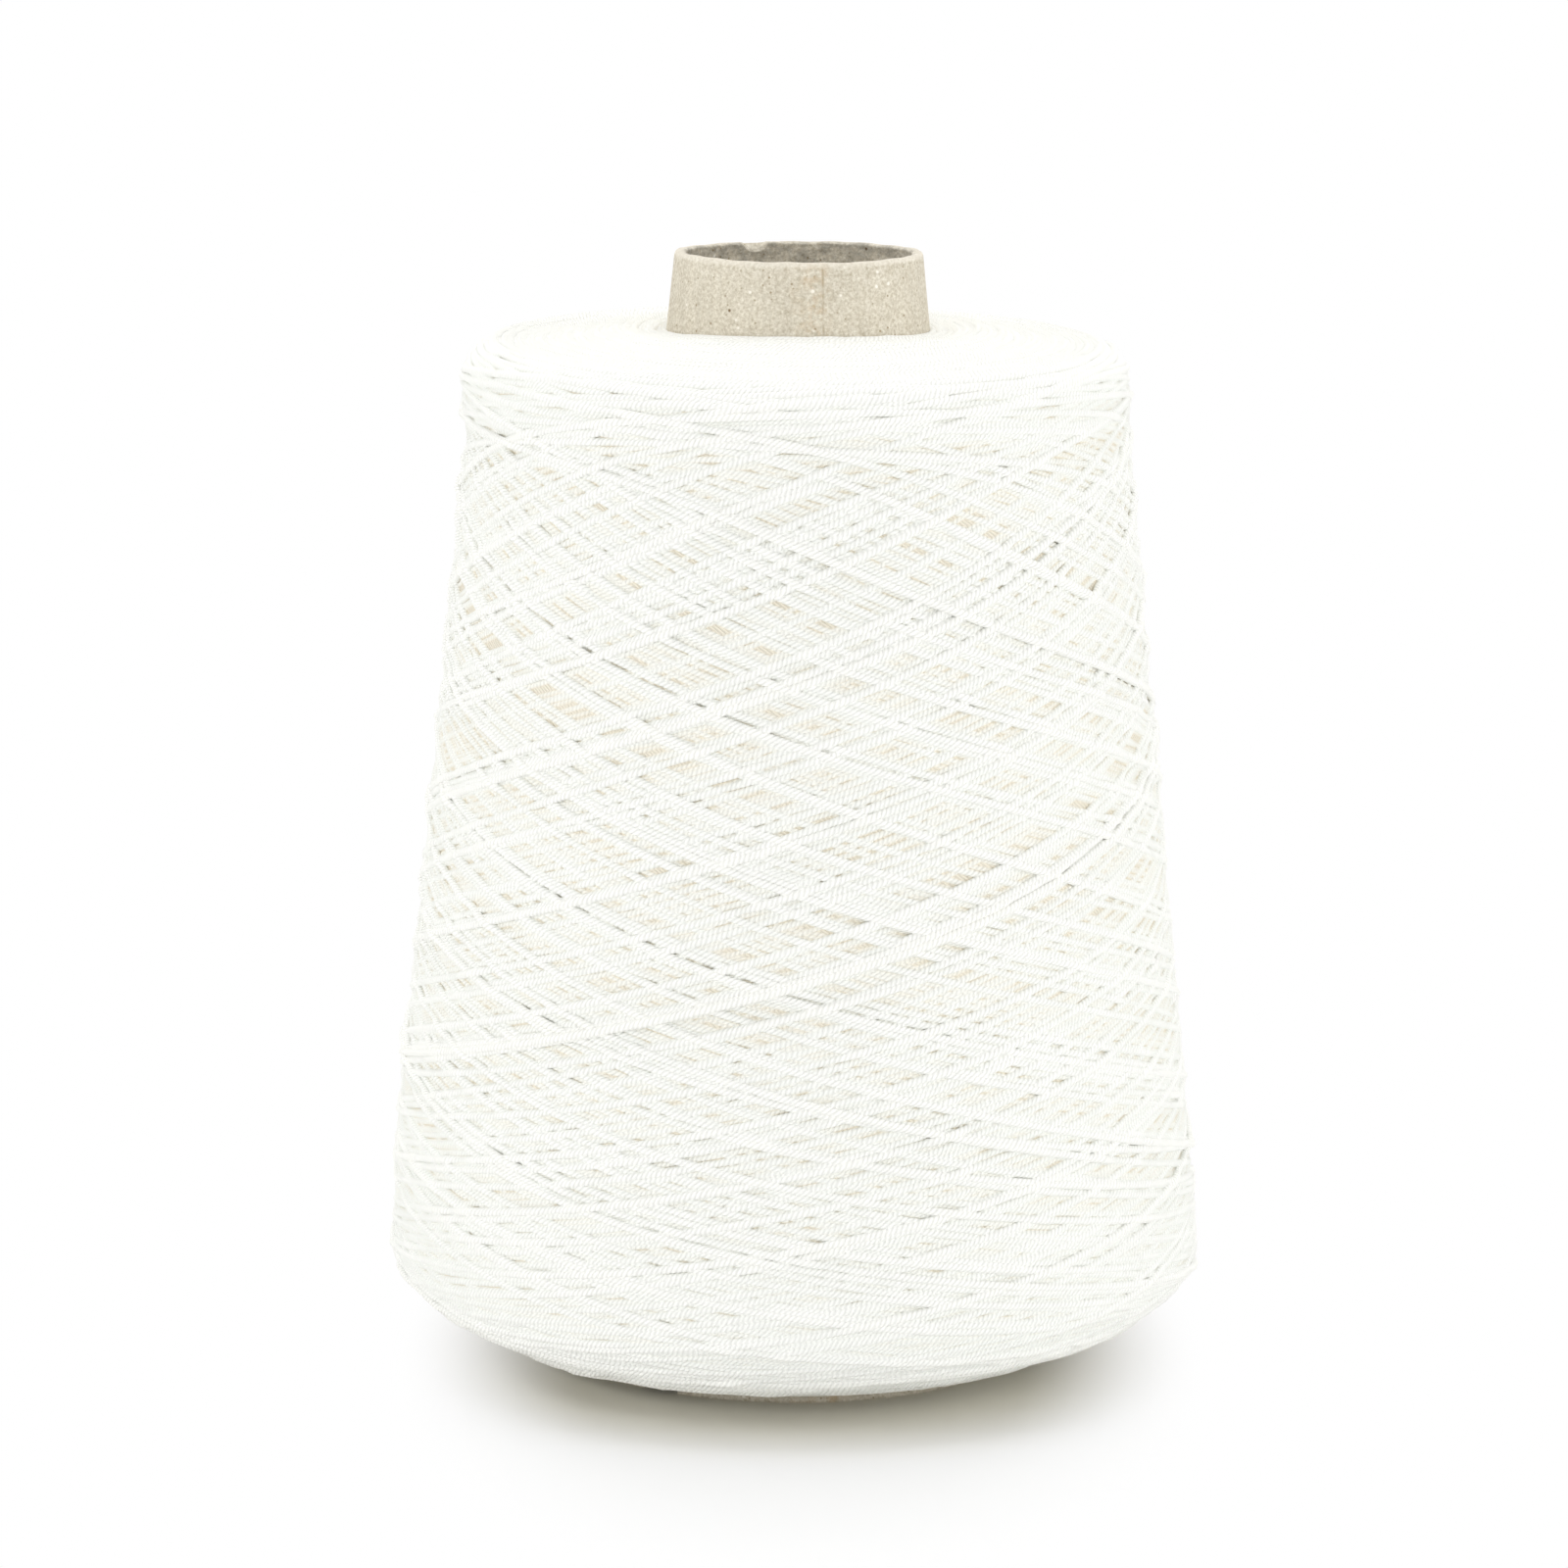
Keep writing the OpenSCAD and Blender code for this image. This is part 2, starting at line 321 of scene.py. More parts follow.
off_line = add_node(tree, "Math", links={0: beside_seam}, operation="ABSOLUTE")
lap_line = add_node(
    tree, "MapRange", {"From Min": LAP_LINE[0] * MM, "From Max": LAP_LINE[1] * MM, "To Max": 0.5},
    {"Value": off_line.outputs[0]},
)
breaks = add_node(tree, "TexNoise", {"Scale": 1 / (LAP_BREAKS * MM), "Detail": 2}, {"Vector": place})
breaks = add_node(tree, "MapRange", {"From Min": 0.4, "From Max": 0.6}, {"Value": breaks.outputs["Fac"]})
lap_line = add_node(
    tree, "Math", links={0: lap_line.outputs["Result"], 1: breaks.outputs["Result"]}, operation="MULTIPLY"
)
layers.append((lap_line.outputs[0], "#9A8664"))

# Painted highlight, partly burnished board: the top of the rim is paler.
highlight_from, highlight_to = ((CONE_LENGTH + past) * MM for past in PALE_RIM_AND_HIGHLIGHT)
burnish_and_highlight = add_node(
    tree, "MapRange", {"From Min": highlight_from, "From Max": highlight_to, "To Max": 0.4},
    {"Value": axes.outputs["Z"]},
)
layers.append((burnish_and_highlight.outputs["Result"], "#F2ECDF"))
for amount, code in layers:
    color = add_node(
        tree, "Mix", {"B": from_srgb(code)}, {"Factor": amount, "A": color}, data_type="RGBA"
    ).outputs["Result"]

# The inner wall is painted darker, as shade inside the cone, and mottled by a squashed noise that
# paints the shading of its wrinkled surface. It is found by how far out it lies once the taper is
# taken off, which is the same all the way up it.
level = add_node(tree, "VectorMath", {1: (1, 1, 0)}, {0: place}, operation="MULTIPLY")
level = add_node(tree, "VectorMath", links={0: level.outputs["Vector"]}, operation="LENGTH")
untapered = add_node(
    tree, "Math", {1: CONE_TAPER}, {0: axes.outputs["Z"], 2: level.outputs["Value"]}, operation="MULTIPLY_ADD"
)
inner_wall = (NOSE_RADIUS - WALL + CONE_LENGTH * CONE_TAPER) * MM
within = add_node(
    tree, "MapRange",
    {"From Min": inner_wall + INNER_SKIN[0] * MM, "From Max": inner_wall + INNER_SKIN[1] * MM},
    {"Value": untapered.outputs[0]},
)
squashed = add_node(tree, "Mapping", {"Scale": (1, 1, WRINKLE_SQUASH)}, {"Vector": place})
wrinkle_shade = add_node(
    tree, "TexNoise", {"Scale": 1 / (WRINKLE_SIZE * MM), "Detail": 5, "Roughness": 0.7},
    {"Vector": squashed.outputs["Vector"]},
)
wrinkle_shade = add_node(
    tree, "MapRange", {"From Min": 0.38, "From Max": 0.62, "To Min": 0.7, "To Max": 1.2},
    {"Value": wrinkle_shade.outputs["Fac"]},
)
# Painted shade: the inner wall darkens just below the rim.
rim_shade_from, rim_shade_to = ((CONE_LENGTH + past) * MM for past in RIM_SHADE)
rim_shade = add_node(
    tree, "MapRange", {"From Min": rim_shade_from, "From Max": rim_shade_to, "To Min": 1, "To Max": 0.88},
    {"Value": axes.outputs["Z"]},
)
dark = add_node(
    tree, "Math", links={0: wrinkle_shade.outputs["Result"], 1: rim_shade.outputs["Result"]}, operation="MULTIPLY"
)
dark = add_node(tree, "VectorMath", links={0: color, 1: dark.outputs[0]}, operation="MULTIPLY")
color = add_node(
    tree, "Mix", links={"Factor": within.outputs["Result"], "A": color, "B": dark.outputs["Vector"]},
    data_type="RGBA",
).outputs["Result"]
bump = add_node(tree, "Bump", {"Strength": 1, "Distance": PULP_RELIEF * MM}, {"Height": pulp.outputs["Fac"]})
bsdf = add_node(
    tree, "BsdfPrincipled", {"Roughness": 0.85, "Specular IOR Level": 0.25},
    {"Base Color": color, "Normal": bump.outputs["Normal"]},
)
tree.links.new(bsdf.outputs["BSDF"], output.inputs["Surface"])
paper_cone.data.materials.append(board)
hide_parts("paper_cone")
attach(paper_cone, "root")


# --- Thread: the shape of the package -------------------------------------------------------
# The thread is wound on so that its side runs nearly parallel to the paper cone. Its outline goes
# from the paper at the foot, out and up round the soft bottom edge, up the side, over the top edge
# and back in to the paper at the nose. What follows is placed by its distance along that line.
FLANK_RADIUS = 62.91
FLANK_HEIGHT = 20.0
FLANK_SLOPE = 0.1007
# Heights up the outline: where it leaves the paper, where the bottom edge's lines would meet and
# its rounding ends, where the top edge's rounding starts and its lines would meet, and where it
# comes back to the paper
FOOT_HEIGHT = 2.4
BOTTOM_CORNER = 9.4
BOTTOM_SIDE = 17.3
TOP_SIDE = 151.5
TOP_CORNER = 154.9
TOP_HEIGHT = 159.5
# How far the level ring at the foot and the top edge's rounding reach along the end faces
FOOT_RING = 4.0
TOP_ROUND = 4.0
OUTLINE_STEP = 0.4

# Where the real package leaves its even outline: a full ridge round the top edge, a slack place
# round the bottom edge, both stronger on the left, and a hollow at the nose's two sides.
RIDGE_HEIGHT = 153.0
RIDGE_RISE = 1.05
RIDGE_LEAN = 0.35
RIDGE_REACH = 7.5
SLACK_HEIGHT = 16.5
SLACK_DROP = 0.65
SLACK_LEAN = 0.35
SLACK_REACH = 8.0
HOLLOW_DEPTH = 1.3
HOLLOW_REACH = 5.0


def flank_radius(z):
    """Radius of the finished package on its straight side."""
    return FLANK_RADIUS - FLANK_SLOPE * (z - FLANK_HEIGHT)


def bent(start, corner, end, steps=24):
    """Points on the curve that rounds a corner."""
    t = np.linspace(0, 1, steps)[:, None]
    return (1 - t) ** 2 * np.array(start) + 2 * t * (1 - t) * np.array(corner) + t ** 2 * np.array(end)


def package_outline():
    """Evenly spaced points on the package's outline, the outward normals there, and its length."""
    foot = (paper_radius(FOOT_HEIGHT), FOOT_HEIGHT)
    ring = (foot[0] + FOOT_RING, FOOT_HEIGHT)
    bottom_corner = (flank_radius(BOTTOM_CORNER), BOTTOM_CORNER)
    nose = (paper_radius(TOP_HEIGHT), TOP_HEIGHT)
    top_corner = (flank_radius(TOP_CORNER), TOP_CORNER)
    inward = np.subtract(nose, top_corner) / np.hypot(*np.subtract(nose, top_corner))
    bottom = bent(ring, bottom_corner, (flank_radius(BOTTOM_SIDE), BOTTOM_SIDE))
    top = bent((flank_radius(TOP_SIDE), TOP_SIDE), top_corner, top_corner + TOP_ROUND * inward)
    points = np.vstack([[foot], bottom, top, [nose]])
    length = np.concatenate([[0], np.cumsum(np.hypot(*np.diff(points, axis=0).T))])
    even = np.linspace(0, length[-1], int(length[-1] / OUTLINE_STEP) + 1)
    points = np.stack([np.interp(even, length, points[:, k]) for k in (0, 1)], 1)
    along = np.gradient(points, axis=0)
    normals = np.stack([along[:, 1], -along[:, 0]], 1)
    return points, normals / np.hypot(*normals.T)[:, None], length[-1]


outline_points, outline_normals, outline_length = package_outline()
outline_places = np.linspace(0, outline_length, len(outline_points))
ridge_place = np.interp(RIDGE_HEIGHT, outline_points[:, 1], outline_places)
slack_place = np.interp(SLACK_HEIGHT, outline_points[:, 1], outline_places)


def on_outline(table, s):
    """Reads a column of values kept along the outline at distances s."""
    return np.interp(s, outline_places, table)


def off_outline(s, out):
    """Radius and height of what lies at distances s along the outline and stands out from it."""
    radius = on_outline(outline_points[:, 0], s) + out * on_outline(outline_normals[:, 0], s)
    height = on_outline(outline_points[:, 1], s) + out * on_outline(outline_normals[:, 1], s)
    return radius, height


def wound_form(theta, s):
    """How far the package stands off its even outline, in millimetres."""
    near_ridge = np.exp(-(((s - ridge_place) / RIDGE_REACH) ** 4))
    near_slack = np.exp(-(((s - slack_place) / SLACK_REACH) ** 2))
    near_nose = np.exp(-(((outline_length - s) / HOLLOW_REACH) ** 2))
    ridge = (RIDGE_RISE - RIDGE_LEAN * np.cos(theta)) * near_ridge
    slack = (SLACK_DROP - SLACK_LEAN * np.cos(theta)) * near_slack
    hollow = HOLLOW_DEPTH * np.cos(theta) ** 2 * near_nose
    return ridge - slack - hollow


# --- Thread: its route ----------------------------------------------------------------------
# One thread, laid by a guide that sweeps up and down as the cone turns. The guide is quickest
# below the top edge and slows towards the foot, so the turns cross steeply above and lie almost
# level below. The two end faces have nearly level turns of their own.
THREAD_RADIUS = 0.67
SWEEPS = 260
# Turns that a sweep up and down takes: no whole share of one, so that each sweep falls beside
# those before it
TURNS_PER_SWEEP = 3.3587
TURNS_SPREAD = 0.0008
# Share of the way up, and the guide's speed there
GUIDE_SPEED = (
    (0, 15), (0.03, 50), (0.06, 58), (0.12, 70), (0.2, 80), (0.3, 95), (0.4, 102), (0.52, 112),
    (0.64, 114), (0.72, 118), (0.8, 138), (0.87, 150), (0.93, 125), (0.97, 60), (1, 10),
)
# Distances along the outline between which the guide turns back, below and above
LOW_TURN = (13.0, 31.0)
HIGH_TURN = (162.0, 172.0)
# Size of each wave in the thread's path, how many of them there are in a turn, and their shift
WANDER = ((0.35, 0.73), (0.2, 1.91), (0.12, 4.3))
FACE_WANDER = ((1.3, 0.817, 0), (0.5, 2.31, 1))
# The level turns: where they start and end along the outline, how many it takes to cross from one
# to the other, and how often they cross. The last few are laid over the side's lowest turns.
FOOT_FACE = (1.0, 30.0, 14, 26)
NOSE_FACE = (outline_length - 0.8, 166.0, 14, 26)
UNDERSIDE = (1.0, 16.0, 8, 5)
STROKE_POINTS = 300
FACE_TURN_POINTS = 200
ROUTE_STEP = 1.0
# A fixed seed, so that the thread is laid the same way each time
rng = np.random.default_rng(11)


def to_route(turns, s):
    """Spaces a route's points evenly along the thread. Gives angles and distances along the outline."""
    radius = on_outline(outline_points[:, 0], s)
    steps = np.hypot(radius[1:] * np.diff(turns) * 2 * math.pi, np.diff(s))
    length = np.concatenate([[0], np.cumsum(steps)])
    even = np.arange(0, length[-1], ROUTE_STEP)
    return 2 * math.pi * np.interp(even, length, turns), np.interp(even, length, s)


def sweep_route():
    """The route of the turns on the side, as one unbroken line."""
    lows = rng.uniform(*LOW_TURN, SWEEPS + 1)
    highs = rng.uniform(*HIGH_TURN, SWEEPS)
    half = np.linspace(0, 1, STROKE_POINTS, endpoint=False)
    way = np.linspace(0, 1, 10 * STROKE_POINTS)
    time = np.cumsum(1 / np.interp(way, *zip(*GUIDE_SPEED)))
    climb = np.interp(np.append(half, 1), (time - time[0]) / (time[-1] - time[0]), way)
    turns, s, at = [], [], 0.0
    for k in range(SWEEPS):
        for low, high, part in ((lows[k], highs[k], climb[:-1]), (lows[k + 1], highs[k], climb[:0:-1])):
            share = TURNS_PER_SWEEP / 2 + rng.normal(0, TURNS_SPREAD)
            turns.append(at + share * half)
            s.append(low + (high - low) * part)
            at += share
    turns, s = np.concatenate(turns), np.concatenate(s)
    waves = [size * np.sin(2 * math.pi * turns * count + rng.uniform(0, 6)) for size, count in WANDER]
    return to_route(turns, s + sum(waves))


def face_route(start, end, turns_across, crossings):
    """The turns that show on an end face: nearly level rings that drift in and out."""
    points = FACE_TURN_POINTS * turns_across * crossings
    turns = np.linspace(0, turns_across * crossings, points)
    drift = np.abs((turns / turns_across) % 2 - 1)
    waves = [size * np.sin(2 * math.pi * turns * count + shift) for size, count, shift in FACE_WANDER]
    s = start + (end - start) * drift + sum(waves)
    return to_route(turns, np.clip(s, min(start, end), max(start, end)))


# --- Thread: laying it down -----------------------------------------------------------------
# A map of the package's surface holds how high the thread has built up. Each stretch is laid
# over what is below it and pulled tight, so it bridges the hollows between the turns that it
# crosses. What ends up well below the surface is left out, because nothing can show it.
# Columns of the map round the package, the distance along the outline from one row to the next,
# and how many rows the map is evened out over to either side
MAP_COLUMNS = 1200
MAP_STEP = 0.3
EVENED_ROWS = 15
# Offsets across the thread at which it rests on what is below, and at which it marks the map
FOOTPRINT = np.array([-0.45, -0.22, 0.0, 0.22, 0.45])
TRACK = np.linspace(-0.44, 0.44, 7)
# Soft thread presses flat: its half height on the map, as a share of its radius
PRESS = 0.25
# Sharpest hollow that a tight thread follows, as its curvature per millimetre
SOFTNESS = 0.3
# Points that are laid at a time, and points past them that their tightness takes in
WINDOW = 100
LOOK_AHEAD = 20
# Marks that a step of the route leaves, the gap in numbers between one route and the next, and how
# close to a cell's height a mark's own is where it lies on top
MARKS_PER_STEP = 4
MARK_GAP = 1000
ON_TOP_WITHIN = 0.001
# Windows from one pressing of the package to the next, and the mean rise between them that
# leaves about a third of its unevenness
SETTLE_EVERY = 120
SETTLING = 0.6

map_rows = int(outline_length / MAP_STEP) + 3
map_places = (np.arange(map_rows) + 0.5) * MAP_STEP
height_map = np.zeros((map_rows, MAP_COLUMNS), np.float32)
# The number of the mark that lies on top in each of the map's cells, or 0
top_map = np.zeros(map_rows * MAP_COLUMNS, np.int32)
laid = []


def map_cells(theta, s, slope, offsets):
    """Cells of the map at sideways offsets from the points of a route."""
    radius = on_outline(outline_points[:, 0], s)[:, None]
    side_s = s[:, None] + np.cos(slope)[:, None] * offsets
    side_theta = theta[:, None] - np.sin(slope)[:, None] * offsets / radius
    row = np.clip((side_s / MAP_STEP).astype(np.int32), 0, map_rows - 1)
    column = (side_theta * (MAP_COLUMNS / (2 * math.pi))).astype(np.int64) % MAP_COLUMNS
    return row * MAP_COLUMNS + column


def pulled_tight(clear):
    """Heights of a thread drawn tight over heights that it has to clear."""
    place = np.arange(len(clear)) * ROUTE_STEP
    fall = SOFTNESS * place * place / 2
    lifted = clear - fall
    touch = [0]
    for j in range(1, len(lifted)):
        while len(touch) > 1:
            a, b = touch[-2], touch[-1]
            if (lifted[b] - lifted[a]) * (j - a) > (lifted[j] - lifted[a]) * (b - a):
                break
            touch.pop()
        touch.append(j)
    return np.interp(place, place[touch], lifted[touch]) + fall


def along_rows(values):
    """Evens out a value kept for each row of the map."""
    weights = np.exp(-np.linspace(-2, 2, 2 * EVENED_ROWS + 1) ** 2)
    return np.convolve(np.pad(values, EVENED_ROWS, mode="edge"), weights / weights.sum(), mode="valid")


def settle(lowest, highest):
    """Presses part of the package firm: its unevenness shrinks, and its mean surface is the new zero."""
    pressed = (map_places > lowest) & (map_places < highest)
    mean = along_rows(height_map.mean(1) * pressed)
    shrink = np.exp(-mean / SETTLING)
    height_map[:] = (height_map - mean[:, None]) * shrink[:, None]
    for s, height in laid:
        height[:] = (height - np.interp(s, map_places, mean)) * np.interp(s, map_places, shrink)


def lay(route):
    """Lays a route on the package. Gives its height, and the numbers and the cells of its marks."""
    theta, s = route
    height = np.zeros(len(s))
    laid.append((s, height))
    radius = on_outline(outline_points[:, 0], s)
    slope = np.arctan2(np.gradient(s), radius * np.gradient(theta))
    under = map_cells(theta, s, slope, FOOTPRINT)
    rise = PRESS * np.sqrt(THREAD_RADIUS ** 2 - FOOTPRINT ** 2)
    fine = np.arange(0, len(s), 1 / MARKS_PER_STEP)
    whole = np.arange(len(s))
    track_cells = map_cells(*(np.interp(fine, whole, column) for column in (theta, s, slope)), TRACK)
    track_rise = PRESS * np.sqrt(THREAD_RADIUS ** 2 - TRACK ** 2)
    marks = np.arange(len(fine), dtype=np.int32) + MARK_GAP + top_map.max()
    cells = height_map.ravel()
    for start in range(0, len(s) + WINDOW, WINDOW):
        stop = min(len(s), start + WINDOW + LOOK_AHEAD)
        if start < stop:
            clear = (cells[under[start:stop]] + rise).max(1)
            if start:
                clear[0] = max(clear[0], height[start - 1])
            height[start:stop] = pulled_tight(clear)
        if start:
            part = slice(MARKS_PER_STEP * (start - WINDOW), MARKS_PER_STEP * start)
            tops = np.interp(fine[part], whole, height)[:, None] + track_rise
            np.maximum.at(cells, track_cells[part], tops)
            on_top = tops >= cells[track_cells[part]] - ON_TOP_WITHIN
            top_map[track_cells[part][on_top]] = np.repeat(marks[part], on_top.sum(1))
        if start // WINDOW % SETTLE_EVERY == SETTLE_EVERY - 1:
            settle(s.min(), s.max())
    return height, marks, track_cells


routes = [face_route(*FOOT_FACE), face_route(*NOSE_FACE), sweep_route(), face_route(*UNDERSIDE)]
laid_routes = [lay(route) for route in routes]

# Heights then count from the map's crest, which only a twentieth of it stands above.
CREST_PERCENTILE = 95
crest = along_rows(np.percentile(height_map, CREST_PERCENTILE, axis=1))

# Cells on top that make a step of a route show, the steps kept to either side of what shows, the
# fewest that make a stretch, and the steps from one ring of its mesh to the next
SHOWING_CELLS = 2
RUN_MARGIN = 4
SHORTEST_RUN = 8
RING_STEP = 2
# A route's first and last points are tucked in, and so is each end of a stretch
BURY_POINTS = 14
BURY_DEPTH = 2.5
END_DIP = 1.0
# Share of its unevenness that the package keeps, by distance along the outline: its ends are
# pressed firmer than its side
FIRMNESS = ((0, 0.65), (22, 0.65), (40, 0.85), (70, 1), (160, 1), (172, 0.65), (200, 0.65))


def shown_runs(marks, track_cells):
    """Stretches of a laid route that lie on top somewhere across their width."""
    own = np.abs(top_map[track_cells] - marks[:, None]) < MARKS_PER_STEP
    on_top = own.sum(1).reshape(-1, MARKS_PER_STEP).sum(1) >= SHOWING_CELLS
    shown = np.convolve(on_top, np.ones(2 * RUN_MARGIN + 1), mode="same") > 0
    ends = np.flatnonzero(np.diff(np.concatenate([[0], shown, [0]]).astype(int)))
    return [run for run in ends.reshape(-1, 2) if run[1] - run[0] >= SHORTEST_RUN]


def centre_line(route, height, run):
    """Points in space along one run of the thread, in metres, and their distances along the outline."""
    pick = slice(run[0], run[1], RING_STEP)
    theta, s = route[0][pick], route[1][pick]
    uneven = (height[pick] - np.interp(s, map_places, crest)) * np.interp(s, *zip(*FIRMNESS))
    out = uneven + wound_form(theta, s)
    out[[0, -1]] -= END_DIP
    radius, z = off_outline(s, out)
    return np.stack([radius * np.cos(theta) * MM, radius * np.sin(theta) * MM, z * MM, s], 1)


lines = []
for route, (height, marks, track_cells) in zip(routes, laid_routes):
    height = height.copy()
    height[-BURY_POINTS:] -= np.linspace(0, BURY_DEPTH, BURY_POINTS)
    height[:BURY_POINTS] -= np.linspace(BURY_DEPTH, 0, BURY_POINTS)
    lines += [centre_line(route, height, run) for run in shown_runs(marks, track_cells)]


# --- Thread: the turns that show ------------------------------------------------------------
# The outer turns of soft three-ply cotton thread, held by their own tightness. They are swept
# along the lines above, 1.34 mm thick where 1.2 mm thread spreads on the turns below it. Round
# both rims, where the edge is scalloped, the plies are modelled one by one.

# Sides of the thread's round, and the share of its girth that is left at each end of a stretch
SIDES = 8
END_GIRTH = 0.02
# Most triangles in one piece, and the points along its lines that give as many
PIECE_TRIANGLES = 190000
PIECE_POINTS = PIECE_TRIANGLES // (2 * SIDES)
# How many plies there are, and the length in which they twist round each other once
PLIES = 3
PLY_TWIST = 2.4
# Sides of a ply's round, and the distance from one ring of its mesh to the next
PLY_SIDES = 6
PLY_STEP = 0.3
# A ply's radius, how far it lies from the thread's middle, and how far that stands off the package
PLY_RADIUS = 0.32
PLY_OFFSET = 0.4
PLY_RISE = -0.4
PLY_WANDER = ((0.15, 1.31), (0.1, 2.77))
# Where the turns at each rim start and end along the outline, and how many there are
FOOT_RIM = (3.6, 9.0, 4.5)
NOSE_RIM = (outline_length - 1.9, outline_length - 0.55, 2.2)

# Plied cotton yarn, undyed: matt and a little hairy, near white. Its colour carries painted shade:
# it deepens to a warm tan the deeper a surface lies in the package, standing in for the light that
# bounces between the turns. Three plies twist round each other once in 2.4 mm, so their ridges
# cross the thread every 0.8 mm. The fibres' fuzz is drawn coarser than it is, at 0.35 mm, so that it shows.
PLY_GROOVE = 0.16
FUZZ_SIZE = 0.35
FUZZ_RELIEF = 0.45
SLUB_SIZE = 5.0
# Depths in the package between which the painted shade deepens, and its colours on the way there
SHADE_DEPTHS = (-0.4, 1.6)
SHADE_COLORS = ((0.12, "#FCFCF8"), (0.35, "#F9FAF5"), (0.48, "#F8F7EF"), (0.6, "#F0E8D5"))

cotton, tree, output = new_material("plied_cotton_yarn")
along = add_node(tree, "SeparateXYZ", links={"Vector": add_node(tree, "UVMap").outputs["UV"]})
turned = add_node(tree, "Math", {1: PLIES / PLY_TWIST}, {0: along.outputs["X"]}, operation="MULTIPLY")
phase = add_node(
    tree, "Math", {1: PLIES}, {0: along.outputs["Y"], 2: turned.outputs[0]}, operation="MULTIPLY_ADD"
)
ridge = add_node(tree, "Math", {1: math.pi}, {0: phase.outputs[0]}, operation="MULTIPLY")
ridge = add_node(tree, "Math", links={0: ridge.outputs[0]}, operation="SINE")
ridge = add_node(tree, "Math", links={0: ridge.outputs[0]}, operation="ABSOLUTE")
place = add_node(tree, "TexCoord").outputs["Object"]
fuzz = add_node(
    tree, "TexNoise", {"Scale": 1 / (FUZZ_SIZE * MM), "Detail": 3, "Roughness": 0.7}, {"Vector": place}
)
relief = add_node(
    tree, "Math", {1: FUZZ_RELIEF}, {0: fuzz.outputs["Fac"], 2: ridge.outputs[0]}, operation="MULTIPLY_ADD"
)
bump = add_node(tree, "Bump", {"Strength": 1, "Distance": PLY_GROOVE * MM}, {"Height": relief.outputs[0]})
# Painted shade: the colour darkens and warms with how deep a surface lies in the package.
depth = add_node(tree, "Attribute", attribute_name="depth")
painted_shade = add_node(tree, "MapRange", {"From Min": SHADE_DEPTHS[0], "From Max": SHADE_DEPTHS[1]}, {"Value": depth.outputs["Fac"]})
tone = add_node(tree, "ValToRGB", links={"Fac": painted_shade.outputs["Result"]})
tone.color_ramp.elements[0].color = from_srgb("#FDFDF8")
tone.color_ramp.elements[1].color = from_srgb("#E8DBBB")
for position, code in SHADE_COLORS:
    tone.color_ramp.elements.new(position).color = from_srgb(code)
slubs = add_node(tree, "TexNoise", {"Scale": 1 / (SLUB_SIZE * MM), "Detail": 3}, {"Vector": place})
slubs = add_node(tree, "MapRange", {"To Min": 0.975, "To Max": 1.015}, {"Value": slubs.outputs["Fac"]})
# Painted shade between the plies: the colour is a little darker where the ridge pattern runs low.
painted_groove_shade = add_node(tree, "MapRange", {"From Max": 0.4, "To Min": 0.955}, {"Value": ridge.outputs[0]})
shade = add_node(
    tree, "Math", links={0: slubs.outputs["Result"], 1: painted_groove_shade.outputs["Result"]}, operation="MULTIPLY"
)
color = add_node(
    tree, "VectorMath", links={0: tone.outputs["Color"], 1: shade.outputs[0]}, operation="MULTIPLY"
)
bsdf = add_node(
    tree, "BsdfPrincipled", {"Roughness": 0.95, "Specular IOR Level": 0.15},
    {"Base Color": color.outputs["Vector"], "Normal": bump.outputs["Normal"]},
)
tree.links.new(bsdf.outputs["BSDF"], output.inputs["Surface"])


def plies_round(start, end, turns):
    """The plies of the thread laid round a rim, from one distance along the outline to another."""
    middle = on_outline(outline_points[:, 0], (start + end) / 2)
    count = int(turns * 2 * math.pi * middle / PLY_STEP)
    theta = np.linspace(0, 2 * math.pi * turns, count)
    s = np.linspace(start, end, count)
    for size, waves in PLY_WANDER:
        s = s + size * np.sin(waves * theta)
    radius, z = off_outline(s, wound_form(theta, s) + PLY_RISE)
    centre = np.stack([radius * np.cos(theta), radius * np.sin(theta), z], 1)
    outward = np.stack([
        on_outline(outline_normals[:, 0], s) * np.cos(theta),
        on_outline(outline_normals[:, 0], s) * np.sin(theta),
        on_outline(outline_normals[:, 1], s),
    ], 1)
    ahead = np.gradient(centre, axis=0)
    steps = np.hypot(np.hypot(ahead[:, 0], ahead[:, 1]), ahead[:, 2])
    across = np.cross(ahead / steps[:, None], outward)
    plies = []
    for k in range(PLIES):
        turn = (2 * math.pi * (np.cumsum(steps) / PLY_TWIST + k / PLIES))[:, None]
        ply = centre + PLY_OFFSET * (np.cos(turn) * outward + np.sin(turn) * across)
        plies.append(np.column_stack([ply * MM, s]))
    return plies


def set_depth(mesh, s):
    """Keeps how deep in the package each vertex lies, in millimetres, as an attribute."""
    place = np.empty(3 * len(mesh.vertices), np.float32)
    mesh.vertices.foreach_get("co", place)
    x, y, z = place.reshape(-1, 3).T / MM
    out_across = (np.hypot(x, y) - on_outline(outline_points[:, 0], s)) * on_outline(outline_normals[:, 0], s)
    out_up = (z - on_outline(outline_points[:, 1], s)) * on_outline(outline_normals[:, 1], s)
    under = wound_form(np.arctan2(y, x), s) - out_across - out_up
    depth = mesh.attributes.new("depth", "FLOAT", "POINT")
    depth.data.foreach_set("value", under.astype(np.float32))


